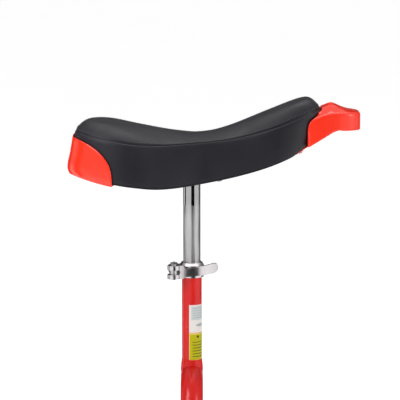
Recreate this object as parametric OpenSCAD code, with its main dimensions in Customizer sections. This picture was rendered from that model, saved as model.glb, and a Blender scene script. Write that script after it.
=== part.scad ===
// Learner's unicycle: tubular fork, spoked wheel on a cotterless axle, quick-release seat post
// and a padded saddle with plastic bumpers.
// Frame: origin on the ground under the axle, +X forwards, +Y to the rider's left, +Z up.

/* [Wheel] */
// Bead seat diameter of the rim
bead_d = 406; // [305:1:406]
// Height of the inflated tyre above the bead seat
tyre_h = 43; // [38:1:50]
// Number of spokes on one side of the hub
spokes_a_side = 18; // [18:18]

/* [Frame] */
// Outside diameter of the fork tube
fork_d = 28.6; // [25.4:0.1:30]
// Outside diameter of the seat tube
seat_tube_d = 25.4; // [25.4:0.1:25.4]
// Distance between the two bearing centres
bearing_span = 100; // [100:1:104]
// Height of the top of the fork arch
arch_top = 550; // [545:1:560]
// Height of the datum at the lower edge of the seat clamp
clamp_z = 662; // [655:1:672]

/* [Drive] */
// Crank length, axle centre to pedal centre
crank_l = 125; // [102:1:127]
// Width of a pedal body along its spindle
pedal_w = 95; // [85:1:98]

/* [Seat] */
// Outside diameter of the seat post
post_d = 22.2; // [22.2:0.1:22.2]
// Depth of the post in the seat tube
post_insert = 72; // [65:1:80]
// Thickness of the saddle's cover
cover_t = 1.6; // [1.2:0.1:2.5]
// Thickness of the moulded bumpers
bumper_t = 3.2; // [2.5:0.1:4]

/* [Hidden] */
$fn = 64;
gap = 0.05;      // running clearance between neighbouring pieces
soft_gap = 0.3;  // clearance between moulded or soft neighbours
red = [0.85, 0.1, 0.08];
chrome = [0.8, 0.8, 0.82];
steel = [0.6, 0.6, 0.62];
black = [0.08, 0.08, 0.09];
amber = [1, 0.5, 0.05];

wheel_r = bead_d / 2 + tyre_h;
axle_z = wheel_r;

// ---------------------------------------------------------------- general helpers

// Places children on the left (+Y) or right (-Y) side; side is 1 or -1
module on_side(side) {
    if (side > 0) children();
    else mirror([0, 1, 0]) children();
}

// Turns children's Z axis to +Y and puts them at the axle's height
module on_axle() {
    translate([0, 0, axle_z]) rotate([-90, 0, 0]) children();
}

// A tube or ring along Z
module ring(outer_r, inner_r, length) {
    difference() {
        cylinder(r = outer_r, h = length);
        translate([0, 0, -1]) cylinder(r = inner_r, h = length + 2);
    }
}

// A tube or ring along Y, from y0 to y1, centred on the axle
module axle_ring(outer_r, inner_r, y0, y1) {
    on_axle() translate([0, 0, y0]) ring(outer_r, inner_r, y1 - y0);
}

// Smooth curve through key points [x, value], flat beyond its ends
function slope_at(p, i) =
    let (a = max(i - 1, 0), b = min(i + 1, len(p) - 1)) (p[b].y - p[a].y) / (p[b].x - p[a].x);
function span_of(p, x) = max([for (i = [0:len(p) - 2]) if (i == 0 || x >= p[i].x) i]);
function hermite(p, i, x) =
    let (h = p[i + 1].x - p[i].x, t = (x - p[i].x) / h)
    (2 * t^3 - 3 * t^2 + 1) * p[i].y + (t^3 - 2 * t^2 + t) * h * slope_at(p, i)
    + (3 * t^2 - 2 * t^3) * p[i + 1].y + (t^3 - t^2) * h * slope_at(p, i + 1);
function curve(p, x) =
    let (lo = p[0].x, hi = p[len(p) - 1].x) hermite(p, span_of(p, x), min(max(x, lo), hi));

function mix(a, b, t) = a + (b - a) * t;
function signed_pow(a, e) = sign(a) * pow(abs(a), e);

// Closed solid through a list of loops with the same even number of points. Each end is closed by
// joining point i to its partner on the other side of the loop.
module loft(loops) {
    n = len(loops[0]);
    last = (len(loops) - 1) * n;
    bands = [for (k = [0:len(loops) - 2], i = [0:n - 1])
        let (a = k * n + i, b = k * n + (i + 1) % n) each [[a, a + n, b + n], [a, b + n, b]]];
    caps = [for (i = [0:n / 2 - 2]) let (j = n - 1 - i) each [
        [i, i + 1, j - 1], [i, j - 1, j],
        [last + i, last + j - 1, last + i + 1], [last + i, last + j, last + j - 1]]];
    polyhedron(points = [for (l = loops) each l], faces = concat(bands, caps), convexity = 8);
}

// ---------------------------------------------------------------- frame

fork_r = fork_d / 2;
fork_wall = 1.8;
leg_y = bearing_span / 2;
arch_centre = arch_top - leg_y - fork_r;
seat_tube_r = seat_tube_d / 2;
seat_bore_r = post_d / 2 + 0.08;
seat_tube_top = clamp_z + 16.5;
housing_r = 25;
bearing_r = 20;
bearing_w = 12;
bearing_y0 = leg_y - bearing_w / 2;
leg_foot = axle_z + housing_r - 3;
cap_bolt_x = 31;

// A half ring of round bar between the tops of the legs
module arch_bar(bar_r) {
    translate([0, 0, arch_centre]) rotate([90, 0, 90])
        rotate_extrude(angle = 180) translate([leg_y, 0]) circle(r = bar_r);
}

module fork_arch() {
    color(red) difference() {
        arch_bar(fork_r);
        arch_bar(fork_r - fork_wall);
    }
}

// Straight leg from the arch down to the bearing housing, cut to sit on it
module leg(side) {
    color(red) on_side(side) difference() {
        translate([0, leg_y, leg_foot]) ring(fork_r, fork_r - fork_wall, arch_centre - leg_foot);
        axle_ring(housing_r, 1, leg_y - fork_r - 1, leg_y + fork_r + 1);
        on_axle() translate([0, 0, leg_y - fork_r - 1]) cylinder(r = housing_r, h = fork_d + 2);
    }
}

// Seat tube, mitred to the arch, with the slot that lets the clamp squeeze it
module seat_tube() {
    slot_w = 3;
    slot_l = 32;
    color(red) difference() {
        translate([0, 0, arch_top - 9]) cylinder(r = seat_tube_r, h = seat_tube_top - arch_top + 9);
        translate([0, 0, arch_top + 1]) cylinder(r = seat_bore_r, h = seat_tube_top - arch_top);
        arch_bar(fork_r + 0.02);
        translate([-seat_tube_d, -slot_w / 2, seat_tube_top - slot_l])
            cube([seat_tube_d, slot_w, slot_l + 1]);
        translate([-seat_tube_d, 0, seat_tube_top - slot_l]) rotate([0, 90, 0])
            cylinder(r = slot_w / 2, h = seat_tube_d);
    }
}

// Fillet weld round the foot of the seat tube, dressed smooth
module crown_weld() {
    r = seat_tube_r + 0.02;
    color(red) difference() {
        translate([0, 0, arch_top - 12]) rotate_extrude() polygon([
            [r, 0], [r + 1.55, 0], [r + 1.5, 6], [r + 1.1, 11], [r + 0.6, 15], [r + 0.15, 18], [r, 18]]);
        arch_bar(fork_r + 0.02);
    }
}

// One half of the split bearing housing; up is 1 for the welded half and -1 for the loose cap
module housing_half(side, up) {
    ear_x = 39;
    ear_t = up > 0 ? 9 : 7;
    split = 0.5;
    w = 14;
    color(red) on_side(side) difference() {
        union() {
            axle_ring(housing_r, 1, leg_y - w / 2, leg_y + w / 2);
            translate([-ear_x, leg_y - w / 2, up > 0 ? axle_z : axle_z - ear_t])
                cube([2 * ear_x, w, ear_t]);
        }
        on_axle() translate([0, 0, leg_y - w]) cylinder(r = bearing_r + gap, h = 2 * w);
        translate([-50, leg_y - w, up > 0 ? axle_z - 50 + split : axle_z - split])
            cube([100, 2 * w, 50]);
        for (x = [-cap_bolt_x, cap_bolt_x])
            translate([x, leg_y, axle_z - 20]) cylinder(r = up > 0 ? 2.5 : 2.75, h = 40);
    }
}

// Four socket screws that pull the caps up to the housings
module bearing_cap_bolts() {
    color(steel) for (side = [-1, 1], x = [-cap_bolt_x, cap_bolt_x])
        translate([x, side * leg_y, 0]) {
            translate([0, 0, axle_z - 7.1 - 5]) difference() {
                cylinder(r = 4.25, h = 5);
                translate([0, 0, -1]) cylinder(r = 2.3, h = 3.5, $fn = 6);
            }
            translate([0, 0, axle_z - 7.2]) cylinder(r = 2.45, h = 7.2 + 8.5);
        }
}

// ---------------------------------------------------------------- bearings

race_pitch_r = 14.3;
ball_r = 3.3;
shaft_r = 8.5;

// A race is a ring with a groove for the balls
module race(side, outer_r, inner_r) {
    color(steel) on_side(side) difference() {
        axle_ring(outer_r, inner_r, bearing_y0, bearing_y0 + bearing_w);
        on_axle() translate([0, 0, leg_y]) rotate_extrude()
            translate([race_pitch_r, 0]) circle(r = ball_r + gap);
    }
}
module outer_race(side) race(side, bearing_r, 16.4);
module inner_race(side) race(side, 12.2, shaft_r + 0.02);

// Eight balls held apart by a ribbon cage
module bearing_balls(side) {
    balls = 8;
    color(steel) on_side(side) on_axle() translate([0, 0, leg_y]) {
        for (i = [0:balls - 1]) rotate([0, 0, i * 360 / balls])
            translate([race_pitch_r, 0, 0]) sphere(r = ball_r);
        translate([0, 0, -0.8]) ring(race_pitch_r + 1.2, race_pitch_r - 1.2, 1.6);
    }
}

// Two thin seals on each bearing, held by the outer race
module bearing_seals() {
    seal_t = 0.8;
    color(black) for (side = [-1, 1]) on_side(side)
        for (y = [bearing_y0 + 0.3, bearing_y0 + bearing_w - 0.3 - seal_t])
            axle_ring(16.4 - 0.02, 12.2 + 0.15, y, y + seal_t);
}

// ---------------------------------------------------------------- wheel

hub_half = 33;
flange_y = 27;
flange_t = 3;
flange_r = 31.5;
spoke_circle_r = 28.5;
spoke_r = 1;
spoke_lean = 60;       // degrees round the wheel that a spoke covers: three crossings
nipple_y = 2;
rim_bed_r = bead_d / 2 - 16;
spoke_end_r = rim_bed_r + 0.6;
axle_end = 78;
square_y = 60;
square_w = 12.6;
valve_angle = 90;      // straight down

module axle() {
    color(steel) {
        difference() {
            union() {
                on_axle() translate([0, 0, -square_y]) cylinder(r = shaft_r, h = 2 * square_y);
                for (side = [-1, 1]) on_side(side)
                    translate([-square_w / 2, square_y - 0.5, axle_z - square_w / 2])
                        cube([square_w, axle_end - square_y + 0.5, square_w]);
            }
            on_axle() translate([0, 0, -axle_end - 1]) cylinder(r = 4, h = 26);
            on_axle() translate([0, 0, axle_end - 25]) cylinder(r = 4, h = 26);
        }
    }
}

// Hub barrel with two drilled flanges, keyed to the axle
module hub_shell() {
    half = [[shaft_r + 0.02, 0], [17, 0], [17, flange_y - 8], [20, flange_y - flange_t / 2 - 1],
        [flange_r, flange_y - flange_t / 2], [flange_r, flange_y + flange_t / 2],
        [18, flange_y + flange_t / 2 + 1], [14, hub_half], [shaft_r + 0.02, hub_half]];
    color(chrome) difference() {
        on_axle() union() {
            rotate_extrude() polygon(half);
            mirror([0, 0, 1]) rotate_extrude() polygon(half);
        }
        for (side = [-1, 1], i = [0:spokes_a_side - 1])
            on_axle() rotate([0, 0, hub_hole_angle(side, i)])
                translate([spoke_circle_r, 0, side * flange_y - flange_t])
                    cylinder(r = 1.3, h = 2 * flange_t);
    }
}

// The spokes start a quarter of a gap round, so that the valve comes between two of them
function hub_hole_angle(side, i) = (i + (side > 0 ? 0.25 : 0.75)) * 360 / spokes_a_side;
function spoke_turn(i) = i % 2 == 0 ? 1 : -1;
function hub_point(side, i) =
    let (a = hub_hole_angle(side, i), y = side * flange_y + spoke_turn(i) * (flange_t / 2 + spoke_r + 1.25))
    [spoke_circle_r * cos(a), spoke_circle_r * sin(a), y];
function rim_point(side, i, r) =
    let (a = hub_hole_angle(side, i) + spoke_turn(i) * spoke_lean) [r * cos(a), r * sin(a), side * nipple_y];

// A cylinder from one point to another
module rod(a, b, r) {
    d = b - a;
    translate(a) rotate([0, acos(d.z / norm(d)), atan2(d.y, d.x)]) cylinder(r = r, h = norm(d));
}

// Spokes of both sides, each with its bend through the flange and its head
module spokes() {
    color(steel) on_axle() for (side = [-1, 1], i = [0:spokes_a_side - 1]) {
        start = hub_point(side, i);
        head_y = side * flange_y - spoke_turn(i) * (flange_t / 2 + 0.6);
        rod(start, rim_point(side, i, spoke_end_r), spoke_r);
        rod([start.x, start.y, start.z + spoke_turn(i) * 1.05], [start.x, start.y, head_y], 1.12);
        rod([start.x, start.y, head_y + spoke_turn(i) * 0.1],
            [start.x, start.y, head_y - spoke_turn(i) * 0.9], 1.9);
    }
}

module spoke_nipples() {
    body_l = 11;
    color(chrome) on_axle() for (side = [-1, 1], i = [0:spokes_a_side - 1]) {
        start = hub_point(side, i);
        end = rim_point(side, i, spoke_end_r);
        along = (end - start) / norm(end - start);
        difference() {
            union() {
                rod(end - along * body_l, end + along * 1.6, 1.9);
                rod(end + along * 1.5, end + along * 3.4, 2.9);
            }
            rod(end - along * (body_l + 1), end + along * 0.2, spoke_r + 0.04);
        }
    }
}

// Double-wall aluminium rim, drilled for the spokes and the valve
module rim() {
    seat = bead_d / 2;
    section = [[rim_bed_r, -6], [rim_bed_r + 5, -12], [seat + 6, -13.5], [seat + 6.5, -12],
        [seat + 5.5, -11.3], [seat + 1, -11.5], [seat - 1, -8], [seat - 6, -5], [seat - 6, 5],
        [seat - 1, 8], [seat + 1, 11.5], [seat + 5.5, 11.3], [seat + 6.5, 12], [seat + 6, 13.5],
        [rim_bed_r + 5, 12], [rim_bed_r, 6]];
    chamber = [[rim_bed_r + 1.4, -5.4], [rim_bed_r + 5.6, -10.4], [seat - 4, -10.2],
        [seat - 7.4, -5.6], [seat - 7.4, 5.6], [seat - 4, 10.2], [rim_bed_r + 5.6, 10.4],
        [rim_bed_r + 1.4, 5.4]];
    color(chrome) on_axle() difference() {
        rotate_extrude() polygon(section);
        rotate_extrude() polygon(chamber);
        for (side = [-1, 1], i = [0:spokes_a_side - 1]) {
            start = hub_point(side, i);
            end = rim_point(side, i, spoke_end_r);
            along = (end - start) / norm(end - start);
            rod(end - along * 6, end + along * 6, 2.5);
        }
        rotate([0, 0, valve_angle]) translate([rim_bed_r - 3, 0, 0]) rotate([0, 90, 0])
            cylinder(r = 4.2, h = 30);
    }
}

module rim_tape() {
    bed = bead_d / 2 - 6;
    color(black) on_axle() difference() {
        translate([0, 0, -4.8]) ring(bed + 0.8, bed + 0.05, 9.6);
        rotate([0, 0, valve_angle]) translate([bed - 5, 0, 0]) rotate([0, 90, 0])
            cylinder(r = 4.3, h = 12);
    }
}

casing_r = tyre_h / 2 + 0.5;
tube_r = casing_r - 6.8;
tube_centre_r = wheel_r - casing_r;

module inner_tube() {
    color(black) on_axle() difference() {
        rotate_extrude() translate([tube_centre_r, 0]) circle(r = tube_r);
        rotate_extrude() translate([tube_centre_r, 0]) circle(r = tube_r - 1.1);
    }
}

valve_foot_r = tube_centre_r - tube_r - 0.1;
valve_tip_r = rim_bed_r - 28;

module valve_stem() {
    color(chrome) on_axle() rotate([0, 0, valve_angle]) rotate([0, 90, 0])
        translate([0, 0, valve_tip_r]) cylinder(r = 3.9, h = valve_foot_r - valve_tip_r);
}

module valve_cap() {
    color(black) on_axle() rotate([0, 0, valve_angle]) rotate([0, 90, 0])
        translate([0, 0, valve_tip_r - 2]) difference() {
            cylinder(r = 5, h = 11);
            translate([0, 0, 1.9]) cylinder(r = 3.95, h = 10);
        }
}

// Tyre casing: an arc round the tube, with straight walls down to the beads
module tyre() {
    // Half angle of the round casing, measured from the tread
    arc = function (r, half, s)
        [for (a = [-half:6:half]) [tube_centre_r + r * cos(s * a), r * sin(s * a)]];
    seat = bead_d / 2;
    neck = [[seat + 7.3, 11], [seat + 1.2, 10.9], [seat + 1.2, 8.2], [seat + 9, 9.7]];
    flip = [for (k = [len(neck) - 1:-1:0]) [neck[k].x, -neck[k].y]];
    color(black) on_axle() rotate_extrude()
        polygon(concat(arc(casing_r, 126, 1), neck, arc(casing_r - 4.6, 120, -1), flip));
}

// ---------------------------------------------------------------- cranks and pedals

crank_y0 = 68;
crank_t = 12;
pedal_y0 = crank_y0 + crank_t + 8;
pedal_y1 = pedal_y0 + pedal_w;
spindle_r = 6;

// The right crank points forwards and the left one backwards
function crank_dir(side) = side > 0 ? -1 : 1;

module crank(side) {
    root_r = 15;
    eye_r = 12;
    waist = 9.5;
    color(chrome) on_side(side) translate([0, 0, axle_z]) rotate([-90, 0, 0]) difference() {
        union() {
            translate([0, 0, square_y + 0.5]) cylinder(r = root_r, h = crank_y0 + crank_t - square_y - 0.5);
            translate([0, 0, crank_y0]) linear_extrude(crank_t) {
                circle(r = root_r);
                translate([crank_dir(side) * crank_l, 0]) circle(r = eye_r);
                polygon([[0, root_r], [crank_dir(side) * crank_l * 0.3, waist + 1.5],
                    [crank_dir(side) * crank_l * 0.75, waist], [crank_dir(side) * crank_l, eye_r],
                    [crank_dir(side) * crank_l, -eye_r], [crank_dir(side) * crank_l * 0.75, -waist],
                    [crank_dir(side) * crank_l * 0.3, -waist - 1.5], [0, -root_r]]);
            }
        }
        translate([-square_w / 2 - 0.03, -square_w / 2 - 0.03, 0])
            cube([square_w + 0.06, square_w + 0.06, axle_end + 0.1]);
        translate([0, 0, axle_end - 1]) cylinder(r = 10.5, h = 10);
        translate([crank_dir(side) * crank_l, 0, 0]) cylinder(r = 7.1, h = 100);
    }
}

module crank_bolts() {
    color(steel) for (side = [-1, 1]) on_side(side) on_axle() {
        translate([0, 0, axle_end - 22]) cylinder(r = 3.9, h = 22);
        translate([0, 0, axle_end + 0.15]) cylinder(r = 8, h = 1);
        translate([0, 0, axle_end - 0.1]) cylinder(r = 3.9, h = 1);
    }
}

module crank_dust_caps() {
    color(black) for (side = [-1, 1]) on_side(side) on_axle()
        translate([0, 0, axle_end + 1.3]) cylinder(r1 = 10.4, r2 = 9.6, h = 2.4, $fn = 48);
}

// Places children at a pedal's centre, with Z along the spindle and away from the wheel
module at_pedal(side) {
    on_side(side) translate([crank_dir(side) * crank_l, 0, axle_z]) rotate([-90, 0, 0]) children();
}

module pedal_spindle(side) {
    color(steel) at_pedal(side) {
        translate([0, 0, crank_y0]) cylinder(r = 7.05, h = crank_t + 0.1);
        translate([0, 0, crank_y0 + crank_t + 0.1]) cylinder(r = 9.5, h = 4.4);
        translate([0, 0, crank_y0 + crank_t + 4.5]) cylinder(r = spindle_r, h = 24);
        translate([0, 0, crank_y0 + crank_t + 28]) cylinder(r = 4.5, h = pedal_w - 30);
    }
}

pedal_half_x = 44;
rail_t = 9;

// Plastic barrel with the plates and ribs that carry the rails
module pedal_body(side) {
    reach = pedal_half_x - rail_t - 0.02;
    plate_h = 20;
    rib_h = 12;
    color(black) at_pedal(side) difference() {
        union() {
            translate([0, 0, pedal_y0]) cylinder(r = 12.5, h = pedal_w);
            for (y = [pedal_y0, pedal_y1 - 6])
                translate([-reach, -plate_h / 2, y]) cube([2 * reach, plate_h, 6]);
            for (f = [0.34, 0.66])
                translate([-reach, -rib_h / 2, pedal_y0 + pedal_w * f - 2.5]) cube([2 * reach, rib_h, 5]);
        }
        translate([0, 0, pedal_y0 - 1]) cylinder(r = 9, h = pedal_w + 2);
    }
}

// Two toothed rails in front of and behind the barrel, each with a pocket for its reflector
module pedal_rails(side) {
    rail_h = 25;
    color(black) at_pedal(side) for (s = [0, 1]) mirror([s, 0, 0]) difference() {
        union() {
            translate([pedal_half_x - rail_t, -rail_h / 2, pedal_y0]) cube([rail_t, rail_h, pedal_w]);
            for (k = [0:7], v = [-1, 1])
                translate([pedal_half_x - rail_t / 2 - 2, v > 0 ? rail_h / 2 - 1 : -rail_h / 2 - 1.5,
                    pedal_y0 + 6 + k * (pedal_w - 16) / 7]) cube([4, 2.5, 4]);
        }
        translate([pedal_half_x - 2, -7.5, pedal_y0 + 17]) cube([3, 15, pedal_w - 34]);
    }
}

// Bushes that carry the body on the spindle
module pedal_bushes(side) {
    color(steel) at_pedal(side) {
        translate([0, 0, pedal_y0 + 2]) ring(9 - 0.02, spindle_r + gap, 16);
        translate([0, 0, pedal_y1 - 28]) ring(9 - 0.02, 4.5 + gap, 14);
    }
}

module pedal_reflectors(side) {
    color(amber) at_pedal(side) for (s = [-1, 1])
        translate([s > 0 ? 42.1 : -44.6, -7.4, pedal_y0 + 17.1]) cube([2.5, 14.8, pedal_w - 34.2]);
}

module pedal_end_cap(side) {
    color(black) at_pedal(side) {
        translate([0, 0, pedal_y1 - 8]) cylinder(r = 9 - 0.03, h = 8);
        translate([0, 0, pedal_y1]) cylinder(r1 = 12, r2 = 10.5, h = 1.5, $fn = 48);
    }
}

// ---------------------------------------------------------------- seat clamp

collar_z0 = clamp_z + 1.5;
collar_h = 15.3;
collar_r = 15.5;
skewer_z = clamp_z + 10;
skewer_x = -23;
skewer_r = 2.5;
ear_in = 2;
ear_out = 6.5;
cam_r = 8;
cam_y = -(ear_out + 1.8 + 0.2 + cam_r);

// Split collar with a lip over the tube's end and two ears for the skewer
module clamp_collar() {
    ear_h = 13;
    color(chrome) difference() {
        union() {
            translate([0, 0, collar_z0]) cylinder(r = collar_r, h = collar_h);
            translate([0, 0, collar_z0 + collar_h]) cylinder(r1 = collar_r, r2 = 13.4, h = 3.2);
            translate([skewer_x, -ear_out, skewer_z - ear_h / 2]) cube([-skewer_x, 2 * ear_out, ear_h]);
            translate([skewer_x, ear_out, skewer_z]) rotate([90, 0, 0])
                cylinder(r = ear_h / 2, h = 2 * ear_out);
        }
        translate([0, 0, collar_z0 - 1])
            cylinder(r = seat_tube_r + gap, h = seat_tube_top - collar_z0 + 1.05);
        translate([0, 0, collar_z0]) cylinder(r = post_d / 2 + 0.25, h = 30);
        translate([-40, -ear_in, collar_z0 - 5]) cube([40, 2 * ear_in, 40]);
        translate([skewer_x, 20, skewer_z]) rotate([90, 0, 0]) cylinder(r = skewer_r + gap, h = 40);
    }
}

module clamp_skewer() {
    color(steel) difference() {
        union() {
            translate([skewer_x, 20, skewer_z]) rotate([90, 0, 0]) cylinder(r = skewer_r, h = 20 - cam_y);
            translate([skewer_x, cam_y, skewer_z - 2.8]) cylinder(r = 5, h = 5.6);
        }
        translate([skewer_x, cam_y, skewer_z - 10]) cylinder(r = 2.05, h = 20);
    }
}

module clamp_pin() {
    color(steel) translate([skewer_x, cam_y, skewer_z - 8.8]) {
        cylinder(r = 2, h = 17.6);
        translate([0, 0, 17.55]) cylinder(r = 3.4, h = 1);
        translate([0, 0, -0.95]) cylinder(r = 3.4, h = 1);
    }
}

// Washer between the cam and the ear
module cam_washer() {
    color(black) translate([skewer_x, -ear_out - 0.03, skewer_z]) rotate([90, 0, 0])
        ring(6.4, skewer_r + gap, 1.75);
}

// Round tension nut at the skewer's far end
module clamp_nut() {
    grips = 12;
    color(chrome) translate([skewer_x, ear_out + 0.05, skewer_z]) rotate([-90, 0, 0]) difference() {
        union() {
            cylinder(r = 8, h = 5);
            translate([0, 0, 5]) cylinder(r1 = 7.5, r2 = 5.6, h = 4.5);
            translate([0, 0, 9.4]) cylinder(r = 4.7, h = 4.8);
        }
        translate([0, 0, -1]) cylinder(r = skewer_r + gap, h = 20);
        for (i = [0:grips - 1]) rotate([0, 0, (i + 0.5) * 360 / grips])
            translate([8.7, 0, -1]) cylinder(r = 1.3, h = 7);
    }
}

// Seen from above, the lever's arm is an arc that wraps round the front of the collar
lever_bend_r = 50;
lever_front = [-6.2, -18.6];
lever_t = 3.2;
module lever_arc() {
    translate([lever_front.x, lever_front.y + lever_bend_r]) difference() {
        circle(r = lever_bend_r + lever_t / 2, $fn = 128);
        circle(r = lever_bend_r - lever_t / 2, $fn = 128);
    }
}

// Lever's arm seen from the front: a root as tall as the cam head, and a blade that climbs and
// widens towards its rounded tip
lever_head_h = 17.2;
module lever_front_view() {
    half = lever_head_h / 2;
    arm_l = 57.3;
    tip_r = 6.5;
    rise = 7.8;
    polygon([[5, -half], [11.5, -half], [17, -5], [17, 3], [11.5, half], [5, half]]);
    translate([0, -4.2]) rotate(rise) {
        polygon([[0, -2.5], [arm_l - tip_r, -tip_r], [arm_l - tip_r, tip_r], [0, tip_r - 0.5]]);
        translate([arm_l - tip_r, 0]) circle(r = tip_r);
    }
}

// Lever with a forked cam head
module clamp_lever() {
    slot_h = 6;
    slot_end = 5.5;
    arm_back = 10;
    color(chrome) difference() {
        union() {
            translate([skewer_x, cam_y, skewer_z - lever_head_h / 2]) cylinder(r = cam_r, h = lever_head_h);
            intersection() {
                translate([0, 0, skewer_z - lever_head_h]) linear_extrude(50) lever_arc();
                translate([skewer_x, arm_back, skewer_z]) rotate([90, 0, 0])
                    linear_extrude(60) lever_front_view();
            }
        }
        translate([skewer_x, cam_y, skewer_z - slot_h / 2]) cylinder(r = 5.6, h = slot_h);
        translate([skewer_x - 20, cam_y - 20, skewer_z - slot_h / 2]) cube([20 + slot_end, 40, slot_h]);
        translate([skewer_x + slot_end, 20, skewer_z]) rotate([90, 0, 0]) cylinder(r = slot_h / 2, h = 60);
        translate([skewer_x, cam_y, skewer_z - 20]) cylinder(r = 2.05, h = 40);
    }
}

// ---------------------------------------------------------------- saddle

post_foot = seat_tube_top - post_insert;
plate_tilt = 6;
plate_z = clamp_z + 138;
plate_x = 2;
stud_dx = 32;
stud_dy = 16;

// Key points [x, height above clamp_z] of the saddle's three long lines
saddle_bottom = [[-150, 139], [-112, 131], [-74, 124.5], [-37, 121], [14, 126.5], [74, 140.5],
    [124, 159], [141, 171], [165, 186]];
saddle_seam = [[-150, 191], [-110, 185], [-60, 178], [-12, 178], [50, 184], [100, 197],
    [143, 212.5], [165, 219]];
saddle_ridge = [[-150, 204], [-110, 203], [-65, 194], [-12, 187.5], [20, 188.5], [50, 196],
    [100, 215], [140, 230.5], [165, 235]];
// Key points [x, half width], and the two ends of the outline at each level
saddle_width = [[-150, 64], [-95, 70], [-30, 54], [15, 43.5], [60, 44.5], [110, 49], [163, 46]];
rear_end = [[0, -155], [0.2, -154], [0.45, -151], [0.85, -148.5], [1, -149.5]];
front_end = [[0, 152], [0.5, 158], [1, 164.5]];
// How far the wall stands inside the outline at each level, from the hem to the seam
wall_tuck = [[0, 3.5], [0.06, 1.2], [0.25, 0.2], [0.5, 0], [0.8, 0.5], [0.95, 1.3], [1, 2.2]];
saddle_sides = 64;
// How square the outline's ends are: the nose is blunter than the tail
function squareness(u) = cos(u) > 0 ? 4 : 3;

function level_z(x, v) = clamp_z + mix(curve(saddle_bottom, x), curve(saddle_seam, x), v);
function outline(u, v) =
    let (r = curve(rear_end, v), f = curve(front_end, v), mid = (r + f) / 2, half = (f - r) / 2,
        x = mid + half * cos(u), n = squareness(u))
    [x, curve(saddle_width, x) * sign(sin(u)) * pow(1 - abs(cos(u))^n, 1 / n)];
function inward(u, v) =
    let (t = outline(u + 0.5, v) - outline(u - 0.5, v)) [-t.y, t.x] / norm(t);

// A point on the side wall at level v, a distance d inside the cover's face
function wall_point(u, v, d) =
    let (p = outline(u, v) + inward(u, v) * (curve(wall_tuck, v) + d)) [p.x, p.y, level_z(p.x, v)];
// The middle line that a level's loops close on
function spine_x(x) = 6 + (x - 6) * 0.66;
// A point on a flat sheet at level v, a share t of the way in to the spine
function sheet_point(u, v, d, t, drop = 0) =
    let (p = wall_point(u, v, d), s = spine_x(p.x), x = mix(p.x, s, t))
    [x, p.y * (1 - t), level_z(x, v) - drop];
// A point on the crowned top panel
function top_point(u, d, t) =
    let (p = wall_point(u, 1, d), s = spine_x(p.x), x = mix(p.x, s, t), y = p.y * (1 - t),
        reach = norm([p.x - s, p.y]) * t + max(d, 0), shoulder = 20 + 18 * sin(u)^2,
        rise = 1 - (1 - min(reach / shoulder, 1))^2,
        seam = curve(saddle_seam, x), ridge = curve(saddle_ridge, x))
    [x, y, clamp_z + mix(seam, ridge, rise) - d];

side_angles = [for (i = [0:saddle_sides - 1]) (i + 0.5) * 360 / saddle_sides];
function wall_loop(v, d) = [for (u = side_angles) wall_point(u, v, d)];
function sheet_loop(v, d, t, drop = 0) = [for (u = side_angles) sheet_point(u, v, d, t, drop)];
function top_loop(d, t) = [for (u = side_angles) top_point(u, d, t)];
wall_levels = [0, 0.06, 0.25, 0.5, 0.8, 0.95, 1];
top_shares = [0.06, 0.14, 0.25, 0.4, 0.6, 0.8, 0.975];

// The whole saddle's volume, grown by -d
module saddle_volume(d) {
    loft(concat([sheet_loop(0, d, 0.975)], [for (v = wall_levels) wall_loop(v, d)],
        [for (t = top_shares) top_loop(d, t)]));
}

foam_d = cover_t + 1.5 * soft_gap;
base_level = 0.36;
base_t = 3;

// Vinyl cover: open underneath, with its hem turned in below the base
module saddle_cover() {
    color(black) loft(concat(
        [for (k = [len(top_shares) - 1:-1:0]) top_loop(cover_t, top_shares[k])],
        [for (k = [len(wall_levels) - 1:-1:1]) wall_loop(wall_levels[k], cover_t)],
        [wall_loop(0.04, cover_t), sheet_loop(0.04, cover_t, 0.07), sheet_loop(0, 0, 0.1)],
        [for (v = wall_levels) wall_loop(v, 0)],
        [for (t = top_shares) top_loop(0, t)]));
}

// Foam between the cover and the base
module saddle_foam() {
    color([0.85, 0.8, 0.6]) loft(concat(
        [sheet_loop(base_level + 0.03, foam_d, 0.975), wall_loop(base_level + 0.03, foam_d)],
        [for (v = [0.5, 0.8, 0.95, 1]) wall_loop(v, foam_d)],
        [for (t = top_shares) top_loop(foam_d, t)]));
}

// Moulded base: a tray turned upside down, with a skirt that the cover is pulled over
module saddle_base() {
    skirt_foot = 0.06;
    color(black) difference() {
        union() {
            base_tray(skirt_foot);
            for (pad = [[-48, -24, 6.4], [-24, 24, 4.5], [24, 50, 6.4]]) on_plate()
                translate([pad[0] - plate_x, -26, gap]) cube([pad[1] - pad[0], 52, pad[2] - gap]);
            for (u = screw_angles) on_screw(u) translate([0, 0, 0.2])
                cylinder(r = 4, h = boss_h(screw_at(u).x));
        }
        for (u = screw_angles) on_screw(u) cylinder(r = 1.63, h = 10);
        for (x = [-stud_dx, stud_dx], y = [-stud_dy, stud_dy])
            on_plate() translate([x, y, -1]) cylinder(r = 3.03, h = 4.8);
    }
}

module base_tray(skirt_foot) {
    loft(concat(
        [sheet_loop(base_level, foam_d + base_t, 0.975, base_t),
            sheet_loop(base_level, foam_d + base_t, 0.4, base_t),
            sheet_loop(base_level, foam_d + base_t, 0, base_t),
            wall_loop(0.2, foam_d + base_t), wall_loop(skirt_foot, foam_d + base_t),
            wall_loop(skirt_foot, foam_d), wall_loop(0.2, foam_d), wall_loop(base_level, foam_d)],
        [sheet_loop(base_level, foam_d, 0.4), sheet_loop(base_level, foam_d, 0.975)]));
}

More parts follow.
